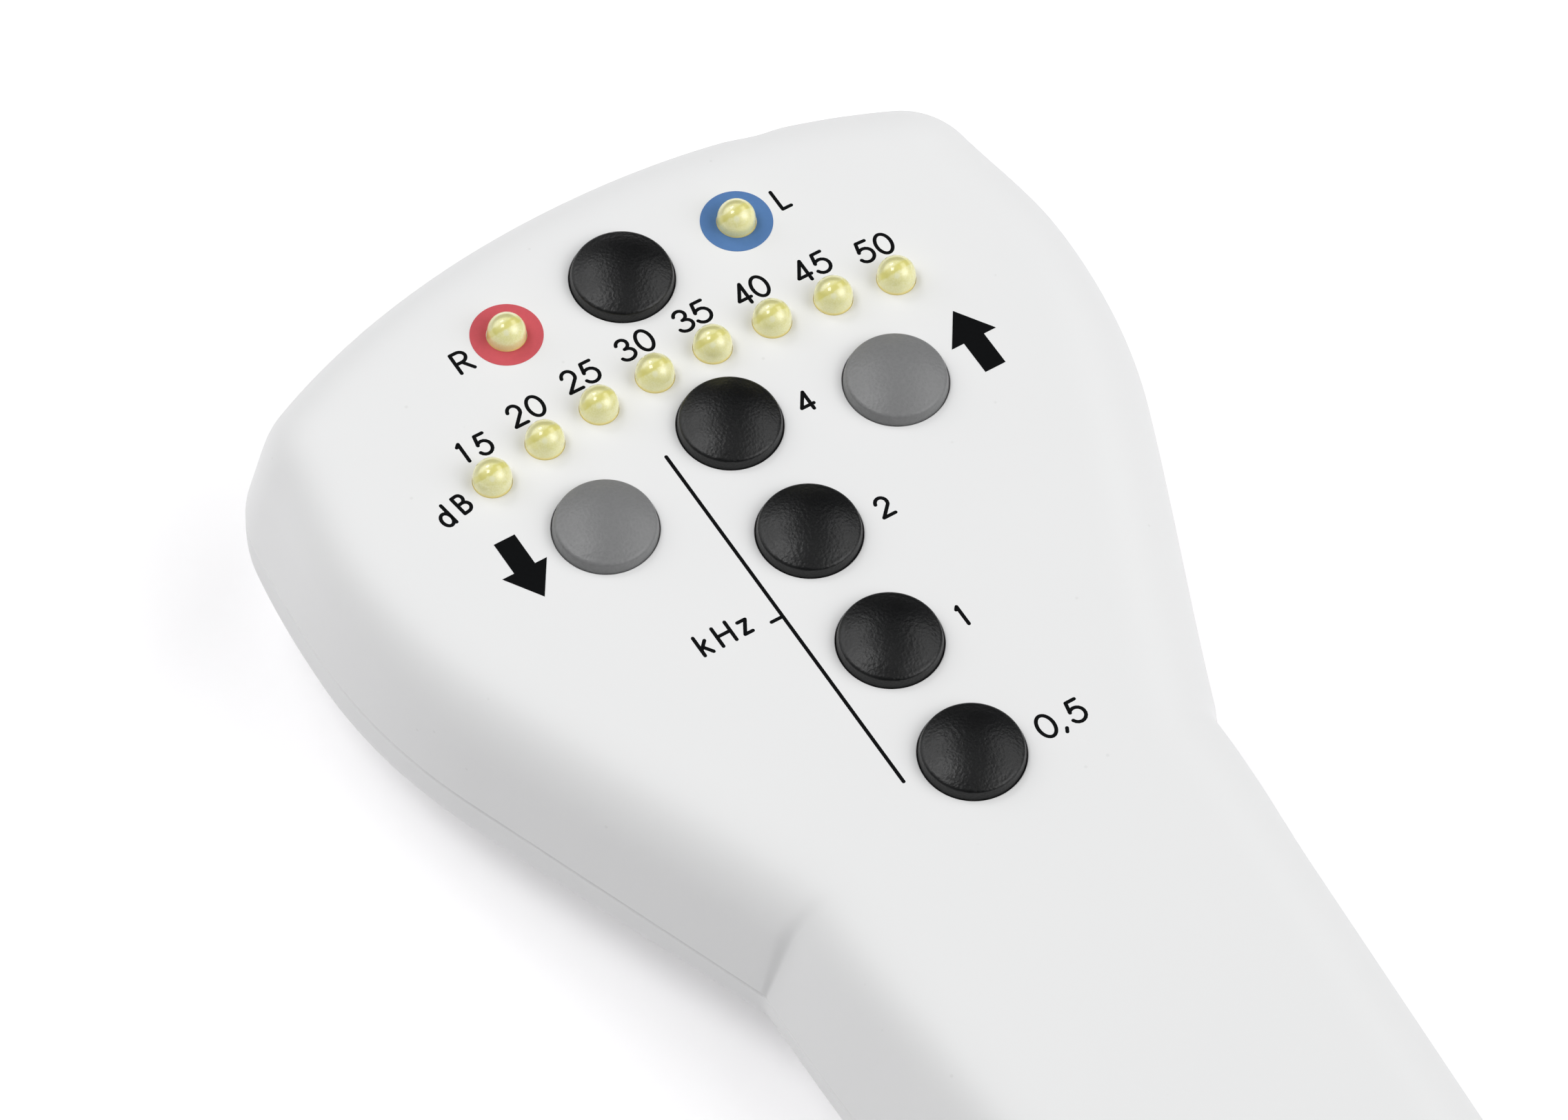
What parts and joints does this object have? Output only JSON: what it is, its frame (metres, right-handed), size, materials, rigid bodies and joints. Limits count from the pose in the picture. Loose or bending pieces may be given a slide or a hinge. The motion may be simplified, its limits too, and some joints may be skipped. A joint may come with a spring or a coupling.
{
  "type": "screening audiometer",
  "caption": "Hand-held screening audiometer: paddle-shaped two-shell housing with a wide head and a tapering handle, push buttons, ringed lamps and a sliding battery door.",
  "frame": {"origin": "centre of the housing's outline, on the flat back", "axes": "+X to the patient's left-ear lamp, +Y to the head end, +Z out of the panel"},
  "size_m": [0.0656, 0.16, 0.024],
  "materials": {
    "housing": "off-white moulded plastic, satin",
    "black_cap": "black, fine grain",
    "grey_cap": "mid grey, fine grain",
    "lamp": "diffused yellow lens",
    "board": "green solder resist",
    "black_moulding": "black moulded plastic",
    "screw": "zinc plated",
    "contact": "nickel plated",
    "cell": "printed sleeve, plain",
    "capacitor": "bare can",
    "red_wire": "red insulation",
    "black_wire": "black insulation"
  },
  "bodies": {
    "housing": {"upper_shell": "housing", "lower_shell": "housing", "main_board": "board", "frequency_4_switch_body": "black_moulding", "frequency_2_switch_body": "black_moulding", "frequency_1_switch_body": "black_moulding", "frequency_half_switch_body": "black_moulding", "ear_select_switch_body": "black_moulding", "level_up_switch_body": "black_moulding", "level_down_switch_body": "black_moulding", "level_lamp_15": "lamp", "level_lamp_20": "lamp", "level_lamp_25": "lamp", "level_lamp_30": "lamp", "level_lamp_35": "lamp", "level_lamp_40": "lamp", "level_lamp_45": "lamp", "level_lamp_50": "lamp", "right_ear_lamp": "lamp", "left_ear_lamp": "lamp", "headphone_socket": "black_moulding", "head_screw_1": "screw", "head_screw_2": "screw", "head_screw_3": "screw", "head_screw_4": "screw", "handle_screw": "screw", "board_screw_1": "screw", "board_screw_2": "screw", "board_screw_3": "screw", "left_cell": "cell", "right_cell": "cell", "positive_contact": "contact", "negative_contact": "contact", "bridge_contact": "contact", "positive_wire": "red_wire", "negative_wire": "black_wire", "microcontroller": "black_moulding", "tone_generator": "black_moulding", "output_amplifier": "black_moulding", "left_capacitor": "capacitor", "right_capacitor": "capacitor"},
    "frequency_4": {"frequency_4_button": "black_cap", "frequency_4_switch_plunger": "black_moulding"},
    "frequency_2": {"frequency_2_button": "black_cap", "frequency_2_switch_plunger": "black_moulding"},
    "frequency_1": {"frequency_1_button": "black_cap", "frequency_1_switch_plunger": "black_moulding"},
    "frequency_half": {"frequency_half_button": "black_cap", "frequency_half_switch_plunger": "black_moulding"},
    "ear_select": {"ear_select_button": "black_cap", "ear_select_switch_plunger": "black_moulding"},
    "level_up": {"level_up_button": "grey_cap", "level_up_switch_plunger": "black_moulding"},
    "level_down": {"level_down_button": "grey_cap", "level_down_switch_plunger": "black_moulding"},
    "door": {"battery_door": "housing"}
  },
  "joints": [
    {"name": "frequency_4_press", "type": "slide", "parent": "housing", "child": "frequency_4", "axis": [0, 0, -1], "range_m": [0, 0.0005], "stiffness_N_per_m": 3000},
    {"name": "frequency_2_press", "type": "slide", "parent": "housing", "child": "frequency_2", "axis": [0, 0, -1], "range_m": [0, 0.0005], "stiffness_N_per_m": 3000},
    {"name": "frequency_1_press", "type": "slide", "parent": "housing", "child": "frequency_1", "axis": [0, 0, -1], "range_m": [0, 0.0005], "stiffness_N_per_m": 3000},
    {"name": "frequency_half_press", "type": "slide", "parent": "housing", "child": "frequency_half", "axis": [0, 0, -1], "range_m": [0, 0.0005], "stiffness_N_per_m": 3000},
    {"name": "ear_select_press", "type": "slide", "parent": "housing", "child": "ear_select", "axis": [0, 0, -1], "range_m": [0, 0.0005], "stiffness_N_per_m": 3000},
    {"name": "level_up_press", "type": "slide", "parent": "housing", "child": "level_up", "axis": [0, 0, -1], "range_m": [0, 0.0005], "stiffness_N_per_m": 3000},
    {"name": "level_down_press", "type": "slide", "parent": "housing", "child": "level_down", "axis": [0, 0, -1], "range_m": [0, 0.0005], "stiffness_N_per_m": 3000},
    {"name": "battery_door_slide", "type": "slide", "parent": "housing", "child": "door", "axis": [0, -1, 0], "range_m": [0, 0.085]}
  ]
}
